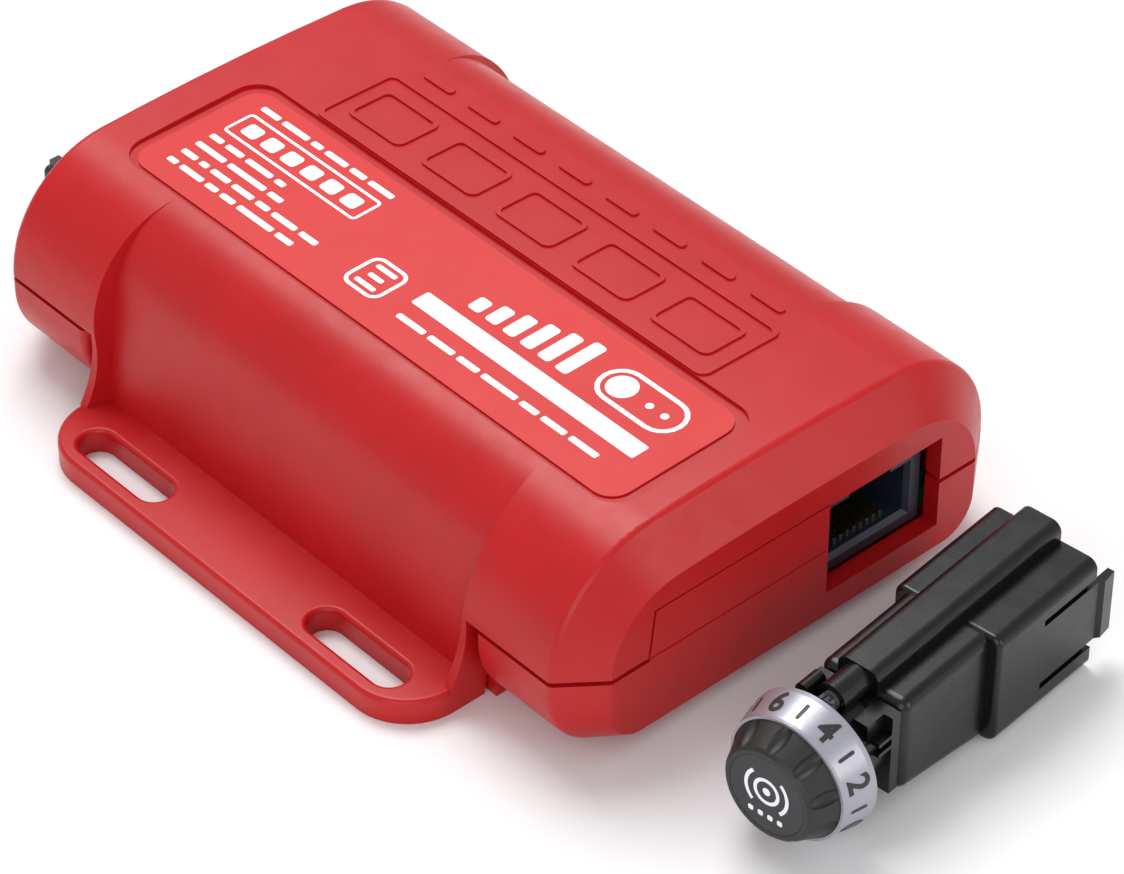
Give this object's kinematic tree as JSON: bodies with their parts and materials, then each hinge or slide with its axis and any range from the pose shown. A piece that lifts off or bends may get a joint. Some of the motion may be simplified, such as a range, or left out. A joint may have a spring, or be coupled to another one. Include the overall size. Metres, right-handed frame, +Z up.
{
  "type": "trailer brake controller",
  "caption": "Flanged electric trailer brake control module in a two-part shell, with its separate dial remote head that turns and pushes.",
  "frame": {"origin": "on the main module's underside, midway between the four flange slots", "axes": "+X towards the end with the remote lead socket, +Y across the module, +Z up, out of the label"},
  "size_m": [0.1338, 0.0842, 0.0276],
  "materials": {
    "red_shell": "satin",
    "label_film": "satin film with white printing",
    "steel": "zinc plated",
    "circuit_board": "solder mask",
    "socket_plastic": "satin",
    "gold_contact": "gold flash",
    "tin_blade": "tin plated",
    "black_plastic": "satin",
    "aluminium": "mill finish",
    "thermal_pad": "matt",
    "chip_epoxy": "matt",
    "capacitor_sleeve": "gloss",
    "ferrite": "matt",
    "copper_wire": "enamelled",
    "head_plastic": "fine-grained satin",
    "clear_plastic": "clear",
    "white_nylon": "matt",
    "knob_rubber": "soft-touch",
    "knob_disc": "satin with white symbol",
    "ring_plastic": "frosted translucent"
  },
  "bodies": {
    "module": {"upper_shell": "red_shell", "lower_shell": "red_shell", "rating_label": "label_film", "case_screws": "steel", "main_board": "circuit_board", "lead_socket": "socket_plastic", "lead_socket_contacts": "gold_contact", "power_header": "black_plastic", "power_blades": "tin_blade", "heat_spreader": "aluminium", "thermal_pad": "thermal_pad", "power_transistors": "chip_epoxy", "transistor_screws": "steel", "bulk_capacitors": "capacitor_sleeve", "inductor_core": "ferrite", "inductor_winding": "copper_wire", "current_shunt": "tin_blade", "microcontroller": "chip_epoxy", "motion_sensor": "chip_epoxy", "timing_crystal": "tin_blade", "small_components": "chip_epoxy"},
    "remote_head": {"head_body": "head_plastic", "head_front_frame": "head_plastic", "encoder_bushing": "black_plastic", "bushing_nut": "black_plastic", "encoder_body": "black_plastic", "head_board": "circuit_board", "push_switch": "black_plastic", "status_lamp": "clear_plastic", "light_pipe": "clear_plastic", "head_socket": "socket_plastic", "head_socket_contacts": "gold_contact"},
    "push_carrier": {"switch_plunger": "white_nylon"},
    "knob": {"knob_shaft": "black_plastic", "knob_cap": "knob_rubber", "knob_face_disc": "knob_disc", "dial_ring": "ring_plastic"}
  },
  "joints": [
    {"name": "head_lift", "type": "slide", "parent": "module", "child": "remote_head", "axis": [0, 0, 1], "range_m": [0, 0.06]},
    {"name": "knob_push", "type": "slide", "parent": "remote_head", "child": "push_carrier", "axis": [-0.1132, 0.9936, 0], "range_m": [0, 0.001], "stiffness_N_per_m": 400, "springref_m": -0.001},
    {"name": "knob_turn", "type": "hinge", "parent": "push_carrier", "child": "knob", "pos_m": [0.0715, -0.0249, 0.009], "axis": [0.1132, -0.9936, 0], "range_deg": [-120, 120]}
  ]
}
